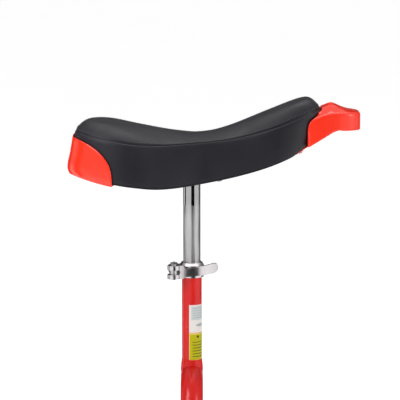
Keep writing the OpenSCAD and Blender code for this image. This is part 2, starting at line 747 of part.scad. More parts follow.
// Cross-section of a bumper that hugs the wall at angle u: a lip under the hem, then the wall up
// to level top. The first half of the loop is its inner face and the second half its outer face.
bumper_gap = 0.55;
lip_t = 1.8;
bumper_steps = [0, 0.07, 0.16, 0.29, 0.5, 0.75, 1];
function bumper_loop(u, top, lip) =
    let (steps = 6, inner = -bumper_gap,
        outer = function (k) inner - mix(bumper_t, 0.6 * bumper_t, k / steps),
        edge = wall_point(u, 0, lip), down = function (p, z) [p.x, p.y, p.z - z])
    concat([down(edge, bumper_gap), down(wall_point(u, 0, inner), bumper_gap)],
        [for (k = [1:steps]) wall_point(u, top * bumper_steps[k], inner)],
        [for (k = [steps:-1:1]) wall_point(u, top * bumper_steps[k], outer(k))],
        [down(wall_point(u, 0, outer(0)), bumper_gap + lip_t), down(edge, bumper_gap + lip_t)]);

// Rear bumper: high at the tail, falling in a curve to the hem on each side
module rear_bumper() {
    half_u = 50.8;
    steps = 44;
    top = function (a) 0.87 * sqrt(1 - a^4);
    // Evenly spaced cuts, closer together at the ends where the edge drops away
    color(red) difference() {
        loft([for (k = [0:steps]) let (a = 0.998 * sin(mix(-90, 90, k / steps)))
            bumper_loop(180 + a * half_u, top(a), 14)]);
        screw_holes();
    }
}

// Plan, lower edge and upper edge of the grab handle in front of the saddle
grip_rear = 150;
grip_front = 212;
grip_half = [[138, 37.8], [150, 38], [165, 36.5], [185, 33], [212, 29.5]];
grip_low = [[140, 168.5], [162, 181.5], [182, 193], [190, 192.3], [212, 191.5]];
grip_edge = [[140, 197], [149, 206], [162, 211.5], [188, 214.5], [212, 213.5]];
grip_crest = [[140, 214], [163, 220], [175, 225], [189, 219.5], [202, 216], [212, 214.5]];
grip_sides = 48;

function grip_outline(u, d) =
    let (c = cos(u), half = c > 0 ? grip_front - grip_rear : 8, x = grip_rear + half * signed_pow(c, 0.5))
    [x - (c > 0 ? d * pow(c, 0.5) : 0), (curve(grip_half, x) - d) * signed_pow(sin(u), 0.5)];
function grip_loop(d, t, z) = [for (i = [0:grip_sides - 1])
    let (p = grip_outline((i + 0.5) * 360 / grip_sides, d),
        x = mix(p.x, grip_rear + (p.x - grip_rear) * 0.45, t))
    [x, p.y * (1 - t), clamp_z + z(x, t)]];

module grip_volume(d, deeper) {
    low = function (x, t) curve(grip_low, x) - deeper;
    edge = function (x, t) curve(grip_edge, x) - d - 1.5;
    crown = function (x, t) mix(curve(grip_edge, x), curve(grip_crest, x), 1 - (1 - t)^2) - d;
    loft([grip_loop(d, 0.97, low), grip_loop(d, 0, low), grip_loop(d, 0, edge),
        grip_loop(d, 0.05, crown), grip_loop(d, 0.2, crown), grip_loop(d, 0.4, crown),
        grip_loop(d, 0.65, crown), grip_loop(d, 0.97, crown)]);
}

// Rear edge of the front bumper seen from the side, as [x, height above clamp_z]
front_edge = [[144.5, 150], [144.5, 200], [149, 206], [156, 211], [162, 216], [164, 219], [166, 250]];

// Front moulding: a lining on the saddle's nose and a hollow grab handle
module front_moulding() {
    half_u = 25.5;
    steps = 26;
    level = 0.96;
    lip_half_y = 27.5;
    difference() {
        union() {
            difference() {
                grip_volume(0, 0);
                grip_volume(bumper_t, 30);
                saddle_volume(-bumper_gap);
            }
            loft([for (k = [0:steps]) bumper_loop(mix(-1, 1, k / steps) * half_u, level, 14)]);
        }
        for (s = [0, 1]) mirror([0, s, 0])
            translate([0, 100, clamp_z]) rotate([90, 0, 0]) linear_extrude(100 - lip_half_y)
                polygon(concat([[100, 250], [100, 150]], front_edge));
        screw_holes();
    }
}

// The moulding is two nodes that meet on a plane: its lining here, and its handle below. The resize
// changes nothing: it has the pieces joined as one mesh.
handle_x = 168.6;
module front_bumper() {
    color(red) resize([0, 0, 0]) intersection() {
        front_moulding();
        translate([0, -100, clamp_z]) cube([handle_x, 200, 400]);
    }
}

module grab_handle() {
    color(red) resize([0, 0, 0]) intersection() {
        front_moulding();
        translate([handle_x, -100, clamp_z]) cube([100, 200, 400]);
    }
}

// Places children on the post's mounting plate, with Z square to it
module on_plate() {
    translate([plate_x, 0, plate_z]) rotate([0, -plate_tilt, 0]) children();
}

plate_t = 3;

// Post: a tube closed at its head, which is cut to the plate's tilt
module seat_post() {
    color(chrome) difference() {
        translate([0, 0, post_foot]) cylinder(r = post_d / 2, h = plate_z - 1 - post_foot);
        translate([0, 0, post_foot - 1]) cylinder(r = post_d / 2 - 2, h = plate_z - post_foot - 8);
        on_plate() translate([-50, -50, -plate_t - 0.02]) cube([100, 100, 20]);
    }
}

// Slotted steel plate welded to the post's head
module post_plate() {
    half_x = 46;
    half_y = 24;
    color(chrome) difference() {
        on_plate() translate([-half_x, -half_y, -plate_t]) cube([2 * half_x, 2 * half_y, plate_t]);
        for (x = [-stud_dx, stud_dx], y = [-stud_dy, stud_dy])
            on_plate() translate([x, y, -10]) linear_extrude(20) {
                square([12, 6.6], center = true);
                for (s = [-6, 6]) translate([s, 0]) circle(r = 3.3);
            }
    }
}

// Studs moulded into the base, down through the plate's slots
module mounting_studs() {
    color(steel) for (x = [-stud_dx, stud_dx], y = [-stud_dy, stud_dy])
        on_plate() translate([x, y, -15]) cylinder(r = 3, h = 18.7);
}

module mounting_nuts() {
    color(steel) for (x = [-stud_dx, stud_dx], y = [-stud_dy, stud_dy]) on_plate() translate([x, y, 0]) {
        translate([0, 0, -3.1 - 1.5]) ring(7.5, 3.1, 1.5);
        translate([0, 0, -4.7 - 5]) difference() {
            cylinder(r = 5.8, h = 5, $fn = 6);
            translate([0, 0, -1]) cylinder(r = 3.1, h = 7);
        }
    }
}

// Screws up through the bumpers' lips into bosses on the base
screw_angles = [180 - 28, 180 + 28, -17, 17];
function screw_at(u) = wall_point(u, 0, 10.2);
function hem_slope(x) = atan2(level_z(x + 2, 0) - level_z(x - 2, 0), 4);
function boss_h(x) = (level_z(x, base_level) - level_z(x, 0) - base_t / 2) * cos(hem_slope(x));
// Places children at a screw, with Z square to the hem
module on_screw(u) {
    translate(screw_at(u)) rotate([0, -hem_slope(screw_at(u).x), 0]) children();
}
module bumper_screws() {
    color(steel) for (u = screw_angles) on_screw(u) {
        translate([0, 0, -lip_t - bumper_gap - 1.5]) cylinder(r = 3.2, h = 1.45);
        translate([0, 0, -lip_t - bumper_gap - 0.1]) cylinder(r = 1.6, h = 11.1);
    }
}
// Holes for the screws in a bumper's lip
module screw_holes() {
    for (u = screw_angles) on_screw(u) translate([0, 0, -8]) cylinder(r = 1.7, h = 10);
}

// ---------------------------------------------------------------- output

seat_tube();
crown_weld();
fork_arch();
leg(1);  // left_leg
leg(-1);  // right_leg
housing_half(1, 1);  // left_bearing_housing
housing_half(-1, 1);  // right_bearing_housing
housing_half(1, -1);  // left_bearing_cap
housing_half(-1, -1);  // right_bearing_cap
bearing_cap_bolts();
outer_race(1);  // left_bearing_outer_race
outer_race(-1);  // right_bearing_outer_race
bearing_seals();
clamp_collar();
clamp_skewer();
clamp_lever();
clamp_pin();
clamp_nut();
cam_washer();
axle();
hub_shell();
spokes();
spoke_nipples();
rim();
rim_tape();
inner_tube();
valve_stem();
valve_cap();
tyre();
crank(1);  // left_crank
crank(-1);  // right_crank
crank_bolts();
crank_dust_caps();
inner_race(1);  // left_bearing_inner_race
inner_race(-1);  // right_bearing_inner_race
pedal_spindle(1);  // left_pedal_spindle
pedal_spindle(-1);  // right_pedal_spindle
bearing_balls(1);  // left_bearing_balls
bearing_balls(-1);  // right_bearing_balls
pedal_body(1);  // left_pedal_body
pedal_rails(1);  // left_pedal_rails
pedal_bushes(1);  // left_pedal_bushes
pedal_reflectors(1);  // left_pedal_reflectors
pedal_end_cap(1);  // left_pedal_end_cap
pedal_body(-1);  // right_pedal_body
pedal_rails(-1);  // right_pedal_rails
pedal_bushes(-1);  // right_pedal_bushes
pedal_reflectors(-1);  // right_pedal_reflectors
pedal_end_cap(-1);  // right_pedal_end_cap
seat_post();
post_plate();
saddle_base();
saddle_foam();
saddle_cover();
rear_bumper();
front_bumper();
grab_handle();
mounting_studs();
mounting_nuts();
bumper_screws();
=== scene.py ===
import bisect
import math

import bmesh
import bpy
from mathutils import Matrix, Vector, noise
from mathutils.bvhtree import BVHTree

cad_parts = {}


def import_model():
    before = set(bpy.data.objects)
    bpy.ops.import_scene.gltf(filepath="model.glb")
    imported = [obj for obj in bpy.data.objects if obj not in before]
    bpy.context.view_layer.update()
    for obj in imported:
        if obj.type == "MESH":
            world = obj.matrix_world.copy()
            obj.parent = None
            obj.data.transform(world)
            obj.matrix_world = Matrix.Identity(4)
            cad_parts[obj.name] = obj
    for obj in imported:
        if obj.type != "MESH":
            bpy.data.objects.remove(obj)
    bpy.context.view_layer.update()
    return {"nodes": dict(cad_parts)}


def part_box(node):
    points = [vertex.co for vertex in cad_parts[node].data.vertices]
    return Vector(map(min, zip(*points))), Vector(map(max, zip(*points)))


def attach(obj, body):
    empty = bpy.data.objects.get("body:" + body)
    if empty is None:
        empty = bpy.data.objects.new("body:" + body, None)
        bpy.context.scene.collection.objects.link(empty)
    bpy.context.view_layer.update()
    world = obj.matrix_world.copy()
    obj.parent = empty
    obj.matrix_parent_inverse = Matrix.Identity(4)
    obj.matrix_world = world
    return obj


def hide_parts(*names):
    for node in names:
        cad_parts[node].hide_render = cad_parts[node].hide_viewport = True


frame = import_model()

MM = 0.001
scene = bpy.context.scene
nodes = frame["nodes"]

# ------------------------------------------------------------------ material helpers


class Graph:
    """A node material under construction: g.new("ShaderNodeX", input=value or socket)."""

    def __init__(self, name):
        self.mat = bpy.data.materials.new(name)
        self.mat.use_nodes = True
        self.tree = self.mat.node_tree
        self.tree.nodes.clear()
        self.out = self.tree.nodes.new("ShaderNodeOutputMaterial")
        self.bsdf = self.tree.nodes.new("ShaderNodeBsdfPrincipled")
        self.tree.links.new(self.bsdf.outputs[0], self.out.inputs[0])
        self.coords = self.tree.nodes.new("ShaderNodeTexCoord").outputs["Object"]

    def put(self, node, key, value):
        socket = node.inputs[key]
        if isinstance(value, bpy.types.NodeSocket):
            self.tree.links.new(value, socket)
        else:
            socket.default_value = value

    def new(self, kind, _props=None, **inputs):
        node = self.tree.nodes.new(kind)
        for k, v in (_props or {}).items():
            setattr(node, k, v)
        for k, v in inputs.items():
            self.put(node, k.replace("_", " "), v)
        return node

    def set(self, **inputs):
        for k, v in inputs.items():
            self.put(self.bsdf, k.replace("_", " "), v)

    def scaled(self, x, y, z):
        return self.new("ShaderNodeMapping", Vector=self.coords, Scale=(x, y, z)).outputs[0]

    def noise(self, scale, detail=3.0, rough=0.5, vector=None):
        return self.new("ShaderNodeTexNoise", Vector=vector or self.coords, Scale=scale, Detail=detail,
                        Roughness=rough).outputs["Fac"]

    def voronoi(self, scale, feature="F1", vector=None):
        return self.new("ShaderNodeTexVoronoi", {"feature": feature}, Vector=vector or self.coords,
                        Scale=scale).outputs["Distance"]

    def math(self, op, a, b=0.0, clamp=False):
        n = self.tree.nodes.new("ShaderNodeMath")
        n.operation, n.use_clamp = op, clamp
        self.put(n, 0, a)
        self.put(n, 1, b)
        return n.outputs[0]

    def ramp(self, fac, lo, hi, a=0.0, b=1.0):
        """fac from lo to hi, mapped to a to b."""
        return self.new("ShaderNodeMapRange", Value=fac, From_Min=lo, From_Max=hi,
                        To_Min=a, To_Max=b).outputs[0]

    def mix(self, fac, a, b):
        n = self.tree.nodes.new("ShaderNodeMix")
        n.data_type = "RGBA"
        self.put(n, 0, fac)
        for key, v in ((6, a), (7, b)):
            self.put(n, key, v if isinstance(v, bpy.types.NodeSocket) else (*v, 1.0))
        return n.outputs[2]

    def bump(self, height, distance, strength=1.0, normal=None):
        n = self.new("ShaderNodeBump", Height=height, Distance=distance, Strength=strength)
        if normal:
            self.put(n, "Normal", normal)
        return n.outputs[0]

    def edges(self):
        """1 on worn convex edges, 0 on flat areas."""
        point = self.new("ShaderNodeNewGeometry").outputs["Pointiness"]
        return self.ramp(point, 0.52, 0.62)


def plastic(name, colour, rough, grain=0.00002, grain_scale=900, coat=0.0, wear=(0.5, 0.5, 0.5),
            shine=0.4):
    g = Graph(name)
    cloud = g.ramp(g.noise(14, 4), 0.35, 0.7)
    dark = tuple(c * 0.82 for c in colour)
    base = g.mix(cloud, dark, colour)
    scuff = g.ramp(g.noise(160, 6, 0.7, g.scaled(1, 1, 5)), 0.66, 0.8)
    base = g.mix(g.math("MULTIPLY", scuff, 0.18), base, wear)
    g.set(Base_Color=base, Roughness=g.ramp(g.noise(45, 5), 0.3, 0.75, rough * 0.85, rough * 1.25),
          Coat_Weight=coat, Coat_Roughness=0.08, Specular_IOR_Level=shine,
          Normal=g.bump(g.noise(grain_scale, 2), grain, 1.0))
    return g.mat


def vinyl():
    """Leather-grained vinyl: pebbles with fine creases between them, and soft broad folds."""
    g = Graph("saddle_vinyl")
    warp = g.new("ShaderNodeTexNoise", Vector=g.coords, Scale=55.0, Detail=3.0)
    shift = g.new("ShaderNodeVectorMath", {"operation": "SCALE"}, Vector=warp.outputs["Color"],
                  Scale=0.012)
    point = g.new("ShaderNodeVectorMath", {"operation": "ADD"})
    g.put(point, 0, g.coords)
    g.put(point, 1, shift.outputs[0])
    pebble = g.voronoi(620, "DISTANCE_TO_EDGE", point.outputs[0])
    crease = g.ramp(pebble, 0.0, 0.16)
    fine = g.voronoi(1500, "F1", point.outputs[0])
    folds = g.noise(24, 3, 0.45)
    height = g.math("ADD", g.math("MULTIPLY", crease, 0.7), g.math("MULTIPLY", fine, 0.3))
    normal = g.bump(folds, 0.0012, 0.5)
    normal = g.bump(height, 0.00008, 0.8, normal)
    shade = g.ramp(g.noise(9, 3), 0.3, 0.7)
    base = g.mix(shade, (0.0090, 0.0087, 0.0130), (0.0145, 0.0140, 0.0195))
    base = g.mix(g.math("MULTIPLY", g.edges(), 0.25), base, (0.035, 0.035, 0.037))
    g.set(Base_Color=base, Normal=normal, Sheen_Weight=0.02, Sheen_Roughness=0.45, Specular_IOR_Level=0.30,
          Roughness=g.ramp(g.noise(30, 4), 0.3, 0.7, 0.36, 0.50))
    return g.mat


def paint():
    """Glossy frame paint with a light orange peel and a few specks worn through on edges."""
    g = Graph("frame_paint")
    tone = g.ramp(g.noise(18, 3), 0.35, 0.65)
    base = g.mix(tone, (0.52, 0.007, 0.006), (0.60, 0.012, 0.009))
    chips = g.math("MULTIPLY", g.ramp(g.noise(420, 3, 0.6), 0.70, 0.74), g.edges(), True)
    base = g.mix(chips, base, (0.30, 0.30, 0.31))
    g.set(Base_Color=base, Roughness=g.ramp(g.noise(60, 5), 0.3, 0.75, 0.26, 0.38), Coat_Weight=0.22,
          Coat_Roughness=0.06, Specular_IOR_Level=0.2, Normal=g.bump(g.noise(380, 2), 0.00004, 0.6))
    return g.mat


def metal(name, colour, rough, brushed=None, pits=0.0, scratch=0.35):
    """Bare or plated metal. brushed stretches the scratches: (x, y, z) scales of the texture."""
    g = Graph(name)
    lines = g.noise(90, 6, 0.7, g.scaled(*(brushed or (6, 6, 1))))
    smudge = g.ramp(g.noise(35, 4), 0.35, 0.75)
    dark = tuple(c * 0.78 for c in colour)
    base = g.mix(g.math("MULTIPLY", smudge, 0.5), colour, dark)
    tarnish = g.ramp(g.noise(230, 5, 0.65), 0.66, 0.78)
    base = g.mix(g.math("MULTIPLY", tarnish, pits), base, (0.22, 0.18, 0.15))
    rough_map = g.math("ADD", g.ramp(smudge, 0.0, 1.0, rough, rough * 1.6),
                       g.ramp(lines, 0.4, 0.7, 0.0, 0.06))
    g.set(Base_Color=base, Metallic=1.0, Roughness=rough_map,
          Normal=g.bump(lines, 0.00001 if not brushed else 0.00003, scratch))
    return g.mat


def rubber(name, colour, rough=0.75):
    g = Graph(name)
    dust = g.ramp(g.noise(26, 5, 0.6), 0.45, 0.8)
    base = g.mix(g.math("MULTIPLY", dust, 0.35), colour, (0.09, 0.085, 0.08))
    base = g.mix(g.math("MULTIPLY", g.edges(), 0.25), base, (0.11, 0.11, 0.11))
    g.set(Base_Color=base, Roughness=g.ramp(g.noise(70, 4), 0.3, 0.7, rough * 0.85, min(1, rough * 1.15)),
          Normal=g.bump(g.noise(1400, 3), 0.00004, 0.7))
    return g.mat


def reflector():
    """Amber reflector: rows of small prisms behind a clear face."""
    g = Graph("reflector_amber")
    prisms = g.voronoi(420, "DISTANCE_TO_EDGE")
    cell = g.ramp(prisms, 0.0, 0.25)
    base = g.mix(cell, (0.55, 0.10, 0.005), (1.0, 0.30, 0.02))
    g.set(Base_Color=base, Roughness=0.12, Coat_Weight=1.0, Coat_Roughness=0.03,
          Normal=g.bump(cell, 0.0004, 0.8))
    return g.mat


def ruled_label(name, ground, ink, panel, first, last, count, right, spot, edge):
    """A generic sticker: a tinted panel, ruled lines, a dark spot and an edge, and no lettering.

    u and v run over it from 0 to 1. panel is (low v, high v, colour); first and last are the lines' lowest
    and highest v; right is about where they stop; spot is (u, v, half width, half height); edge is
    (low v, high v, colour).
    """
    g = Graph(name)
    xyz = g.new("ShaderNodeSeparateXYZ", Vector=g.new("ShaderNodeUVMap").outputs[0])
    u, v = xyz.outputs[0], xyz.outputs[1]

    def band(value, lo, hi):
        return g.math("MULTIPLY", g.math("GREATER_THAN", value, lo), g.math("LESS_THAN", value, hi))

    inside = g.math("MULTIPLY", band(u, 0.10, 0.90), band(v, panel[0], panel[1]))
    base = g.mix(inside, ground, panel[2])
    step = (last - first) / count
    local = g.math("FRACT", g.math("DIVIDE", g.math("SUBTRACT", v, first), step))
    ragged = g.math("ADD", right, g.math("MULTIPLY", g.noise(260, 1, 0.5), 0.12))
    rows = g.math("MULTIPLY", band(local, 0.35, 0.60), band(v, first, last))
    rows = g.math("MULTIPLY", rows, g.math("MULTIPLY", g.math("GREATER_THAN", u, 0.16),
                                           g.math("LESS_THAN", u, ragged)))
    base = g.mix(rows, base, ink)
    off_u = g.math("DIVIDE", g.math("SUBTRACT", u, spot[0]), spot[2])
    off_v = g.math("DIVIDE", g.math("SUBTRACT", v, spot[1]), spot[3])
    reach = g.math("ADD", g.math("MULTIPLY", off_u, off_u), g.math("MULTIPLY", off_v, off_v))
    base = g.mix(g.math("LESS_THAN", reach, 1.0), base, ink)
    body = g.math("MULTIPLY", band(u, 0.035, 0.965), band(v, edge[0], edge[1]))
    base = g.mix(body, edge[2], base)
    dirt = g.ramp(g.noise(120, 5, 0.7), 0.62, 0.85)
    base = g.mix(g.math("MULTIPLY", dirt, 0.3), base, (0.35, 0.30, 0.24))
    g.set(Base_Color=base, Roughness=g.ramp(g.noise(90, 4), 0.3, 0.7, 0.40, 0.55), Specular_IOR_Level=0.15,
          Normal=g.bump(g.noise(500, 2), 0.00002, 0.5))
    return g.mat


def knurled():
    """Chrome over a diamond knurl: bright crests between two sets of slanting grooves, painted near black
    as dirt and painted shade.
    """
    g = Graph("knurled_chrome")
    xyz = g.new("ShaderNodeSeparateXYZ", Vector=g.coords)
    grooves_around, groove_rise = 20, 0.0040
    around = g.math("MULTIPLY", g.math("ARCTAN2", xyz.outputs[1], xyz.outputs[0]),
                    grooves_around / (2 * math.pi))
    up = g.math("DIVIDE", xyz.outputs[2], groove_rise)

    def groove(way):
        off_centre = g.math("SUBTRACT", g.math("FRACT", g.math(way, up, around)), 0.5)
        return g.ramp(g.math("ABSOLUTE", off_centre), 0.08, 0.16)

    crest = g.math("MULTIPLY", groove("ADD"), groove("SUBTRACT"))
    worn = g.ramp(g.noise(160, 3), 0.3, 0.7, 0.85, 1.0)
    # The grooves' near-black colour is dirt plus painted shade in the recesses; the crests keep the
    # chrome's own colour.
    base = g.mix(g.math("MULTIPLY", crest, worn), (0.10, 0.095, 0.10), (0.80, 0.79, 0.795))
    g.set(Base_Color=base, Metallic=1.0, Roughness=g.ramp(g.noise(90, 4), 0.3, 0.7, 0.08, 0.16),
          Normal=g.bump(crest, 0.00012, 0.9))
    return g.mat


def thread():
    g = Graph("stitch_thread")
    wave = g.new("ShaderNodeTexWave", {"wave_type": "BANDS", "bands_direction": "DIAGONAL"},
                 Vector=g.coords, Scale=900.0, Distortion=1.0)
    g.set(Base_Color=g.mix(wave.outputs["Fac"], (0.012, 0.012, 0.014), (0.045, 0.045, 0.05)),
          Roughness=0.65, Normal=g.bump(wave.outputs["Fac"], 0.0001, 0.6), Sheen_Weight=0.2)
    return g.mat


M = {
    "vinyl": vinyl(),
    "paint": paint(),
    "bumper": plastic("bumper_plastic", (0.96, 0.030, 0.008), 0.24, 0.00002, 700, 0.3,
                      (0.95, 0.30, 0.20), 0.35),
    "base": plastic("base_plastic", (0.022, 0.022, 0.024), 0.5, 0.00008, 1300),
    "pedal": plastic("pedal_plastic", (0.020, 0.020, 0.022), 0.48, 0.0001, 1100),
    "cap": plastic("cap_plastic", (0.018, 0.018, 0.02), 0.4, 0.00005, 1200),
    "foam": rubber("saddle_foam", (0.45, 0.36, 0.14), 0.9),
    "post": metal("post_chrome", (0.46, 0.455, 0.46), 0.05, None, 0.05),
    "knurl": knurled(),
    "clamp": metal("clamp_chrome", (0.62, 0.59, 0.60), 0.17, None, 0.10),
    "steel": metal("zinc_steel", (0.56, 0.56, 0.58), 0.28, None, 0.25),
    "crank": metal("crank_chrome", (0.60, 0.60, 0.62), 0.16, (1, 8, 8), 0.2),
    "hub": metal("hub_alloy", (0.66, 0.67, 0.69), 0.30, (1, 12, 1), 0.1),
    "rim": metal("rim_alloy", (0.70, 0.71, 0.73), 0.28, (1, 14, 1), 0.1),
    "spoke": metal("spoke_steel", (0.66, 0.66, 0.68), 0.20, None, 0.15),
    "tyre": rubber("tyre_rubber", (0.016, 0.016, 0.017)),
    "tube": rubber("tube_rubber", (0.02, 0.02, 0.02), 0.6),
    "reflector": reflector(),
    "thread": thread(),
}
NODE_MATERIAL = {
    "paint": ["seat_tube", "crown_weld", "fork_arch", "left_leg", "right_leg", "left_bearing_housing",
              "right_bearing_housing", "left_bearing_cap", "right_bearing_cap"],
    "clamp": ["clamp_collar", "clamp_lever", "clamp_nut", "post_plate"],
    "steel": ["bearing_cap_bolts", "left_bearing_outer_race", "right_bearing_outer_race",
              "left_bearing_inner_race", "right_bearing_inner_race", "left_bearing_balls",
              "right_bearing_balls", "clamp_skewer", "clamp_pin", "axle", "crank_bolts",
              "left_pedal_spindle", "right_pedal_spindle", "left_pedal_bushes", "right_pedal_bushes",
              "mounting_studs", "mounting_nuts", "bumper_screws", "valve_stem"],
    "spoke": ["spokes", "spoke_nipples"],
    "hub": ["hub_shell"],
    "rim": ["rim"],
    "crank": ["left_crank", "right_crank"],
    "tube": ["inner_tube", "rim_tape", "bearing_seals"],
    "tyre": ["tyre"],
    "cap": ["crank_dust_caps", "valve_cap", "left_pedal_end_cap", "right_pedal_end_cap", "cam_washer"],
    "pedal": ["left_pedal_body", "right_pedal_body", "left_pedal_rails", "right_pedal_rails"],
    "reflector": ["left_pedal_reflectors", "right_pedal_reflectors"],
    "base": ["saddle_base"],
    "foam": ["saddle_foam"],
    "vinyl": ["saddle_cover"],
    "bumper": ["rear_bumper", "front_bumper", "grab_handle"],
    "post": ["seat_post"],
}
for key, names in NODE_MATERIAL.items():
    for name in names:
        for s in nodes[name].material_slots:
            s.material = M[key]

# ------------------------------------------------------------------ mesh helpers


def make(name, verts, faces, mat, body, smooth=True):
    mesh = bpy.data.meshes.new(name)
    mesh.from_pydata([tuple(v) for v in verts], [], faces)
    mesh.validate()
    bm = bmesh.new()
    bm.from_mesh(mesh)
    bmesh.ops.recalc_face_normals(bm, faces=bm.faces)
    bm.to_mesh(mesh)
    bm.free()
    mesh.polygons.foreach_set("use_smooth", [smooth] * len(mesh.polygons))
    mesh.materials.append(mat)
    obj = bpy.data.objects.new(name, mesh)
    scene.collection.objects.link(obj)
    if body:
        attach(obj, body)
    return obj


def bands(rows, n, closed=True):
    """Quads between rows of n points each."""
    m = n if closed else n - 1
    return [(r * n + i, r * n + (i + 1) % n, (r + 1) * n + (i + 1) % n, (r + 1) * n + i)
            for r in range(rows - 1) for i in range(m)]


def apply_modifiers(obj):
    bpy.context.view_layer.update()
    dg = bpy.context.evaluated_depsgraph_get()
    mesh = bpy.data.meshes.new_from_object(obj.evaluated_get(dg))
    old = obj.data
    obj.modifiers.clear()
    obj.data = mesh
    bpy.data.meshes.remove(old)


def copy_of(names, name):
    """One new object with the meshes of some CAD nodes."""
    bm = bmesh.new()
    for n in names:
        bm.from_mesh(nodes[n].data)
    mesh = bpy.data.meshes.new(name)
    bm.to_mesh(mesh)
    bm.free()
    obj = bpy.data.objects.new(name, mesh)
    scene.collection.objects.link(obj)
    return obj


def finish_copy(obj, names, mat, body):
    obj.data.materials.clear()
    obj.data.materials.append(mat)
    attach(obj, body)
    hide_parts(*names)
    return obj


def remoulded(names, name, mat, body, voxel, passes):
    """A smooth moulded copy of CAD nodes: remeshed finely, with its facets and edges softened."""
    obj = copy_of(names, name)
    mod = obj.modifiers.new("remesh", "REMESH")
    mod.mode, mod.voxel_size, mod.use_smooth_shade = "VOXEL", voxel, True
    mod = obj.modifiers.new("smooth", "SMOOTH")
    mod.factor, mod.iterations = 0.5, passes
    apply_modifiers(obj)
    obj.data.polygons.foreach_set("use_smooth", [True] * len(obj.data.polygons))
    return finish_copy(obj, names, mat, body)


def eased(node, mat, body, width):
    """A copy of a hard CAD node with its sharp edges bevelled, as a machined part has them."""
    obj = copy_of([node], node + "_eased")
    bm = bmesh.new()
    bm.from_mesh(obj.data)
    bmesh.ops.remove_doubles(bm, verts=bm.verts, dist=1e-6)
    bmesh.ops.dissolve_limit(bm, angle_limit=math.radians(1.0), verts=bm.verts, edges=bm.edges)
    bm.to_mesh(obj.data)
    bm.free()
    mod = obj.modifiers.new("bevel", "BEVEL")
    mod.width, mod.segments, mod.limit_method, mod.angle_limit = width, 2, "ANGLE", math.radians(26)
    mod.use_clamp_overlap, mod.miter_outer = True, "MITER_ARC"
    obj.data.polygons.foreach_set("use_smooth", [True] * len(obj.data.polygons))
    mod = obj.modifiers.new("normals", "WEIGHTED_NORMAL")
    mod.keep_sharp, mod.weight = True, 60
    apply_modifiers(obj)
    return finish_copy(obj, [node], mat, body)


# ------------------------------------------------------------------ saddle shape, as in the CAD source

# The height of the clamp's datum, which the saddle's curves are measured from: just under the collar
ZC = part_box("clamp_collar")[0].z - 1.5 * MM


def curve(p, x):
    """The smooth curve through the points p, at x."""
    x = min(max(x, p[0][0]), p[-1][0])
    i = max(k for k in range(len(p) - 1) if k == 0 or x >= p[k][0])

    def slope(k):
        a, b = max(k - 1, 0), min(k + 1, len(p) - 1)
        return (p[b][1] - p[a][1]) / (p[b][0] - p[a][0])

    h = p[i + 1][0] - p[i][0]
    t = (x - p[i][0]) / h
    return ((2 * t**3 - 3 * t**2 + 1) * p[i][1] + (t**3 - 2 * t**2 + t) * h * slope(i)
            + (3 * t**2 - 2 * t**3) * p[i + 1][1] + (t**3 - t**2) * h * slope(i + 1))


# Side view: (x, height above the datum) in mm. WIDTH is the half width; REAR and FRONT are the ends, and
# TUCK how far the wall leans in, by the share of the wall's height.
BOTTOM = [(-150, 139), (-112, 131), (-74, 124.5), (-37, 121), (14, 126.5), (74, 140.5), (124, 159),
          (141, 171), (165, 186)]
SEAM = [(-150, 191), (-110, 185), (-60, 178), (-12, 178), (50, 184), (100, 197), (143, 212.5), (165, 219)]
RIDGE = [(-150, 204), (-110, 203), (-65, 194), (-12, 187.5), (20, 188.5), (50, 196), (100, 215),
         (140, 230.5), (165, 235)]
WIDTH = [(-150, 64), (-95, 70), (-30, 54), (15, 43.5), (60, 44.5), (110, 49), (163, 46)]
REAR = [(0, -155), (0.2, -154), (0.45, -151), (0.85, -148.5), (1, -149.5)]
FRONT = [(0, 152), (0.5, 158), (1, 164.5)]
TUCK = [(0, 3.5), (0.06, 1.2), (0.25, 0.2), (0.5, 0), (0.8, 0.5), (0.95, 1.3), (1, 2.2)]


def mix(a, b, t):
    return a + (b - a) * t


def level_z(x, v):
    return mix(curve(BOTTOM, x), curve(SEAM, x), v)


def outline(u, v):
    r, f = curve(REAR, v), curve(FRONT, v)
    c, s = math.cos(u), math.sin(u)
    x = (r + f) / 2 + (f - r) / 2 * c
    n = 4 if c > 0 else 3
    return x, curve(WIDTH, x) * math.copysign((1 - min(1, abs(c)) ** n) ** (1 / n), s)


def wall(u, v, d):
    """A point of the side wall, in millimetres from the clamp's datum."""
    x, y = outline(u, v)
    e = math.radians(0.5)
    ax, ay = outline(u - e, v)
    bx, by = outline(u + e, v)
    tx, ty = bx - ax, by - ay
    k = (curve(TUCK, v) + d) / math.hypot(tx, ty)
    x, y = x - ty * k, y + tx * k
    return Vector((x, y, level_z(x, v)))


def spine(x):
    return 6 + (x - 6) * 0.66


def sheet(u, v, d, t):
    p = wall(u, v, d)
    x = mix(p.x, spine(p.x), t)
    return Vector((x, p.y * (1 - t), level_z(x, v)))


def top(u, d, t):
    p = wall(u, 1, d)
    s = spine(p.x)
    x, y = mix(p.x, s, t), p.y * (1 - t)
    reach = math.hypot(p.x - s, p.y) * t + max(d, 0)
    rise = 1 - (1 - min(reach / (20 + 18 * math.sin(u) ** 2), 1)) ** 2
    return Vector((x, y, mix(curve(SEAM, x), curve(RIDGE, x), rise) - d))


def world(p):
    return Vector((p.x * MM, p.y * MM, ZC + p.z * MM))


# ------------------------------------------------------------------ saddle cover

N = 176
ANGLES = [(i + 0.5) * 2 * math.pi / N for i in range(N)]
# Levels of the rows of points: up the wall as a share of its height, then in over the top from its edge
WALLS = [0, 0.03, 0.06, 0.11, 0.17, 0.25, 0.34, 0.43, 0.52, 0.61, 0.70, 0.79, 0.86, 0.92, 0.96, 0.985, 1.0]
TOPS = [0.012, 0.03, 0.055, 0.085, 0.12, 0.16, 0.21, 0.27, 0.34, 0.42, 0.5, 0.6, 0.7, 0.8, 0.9, 0.975]


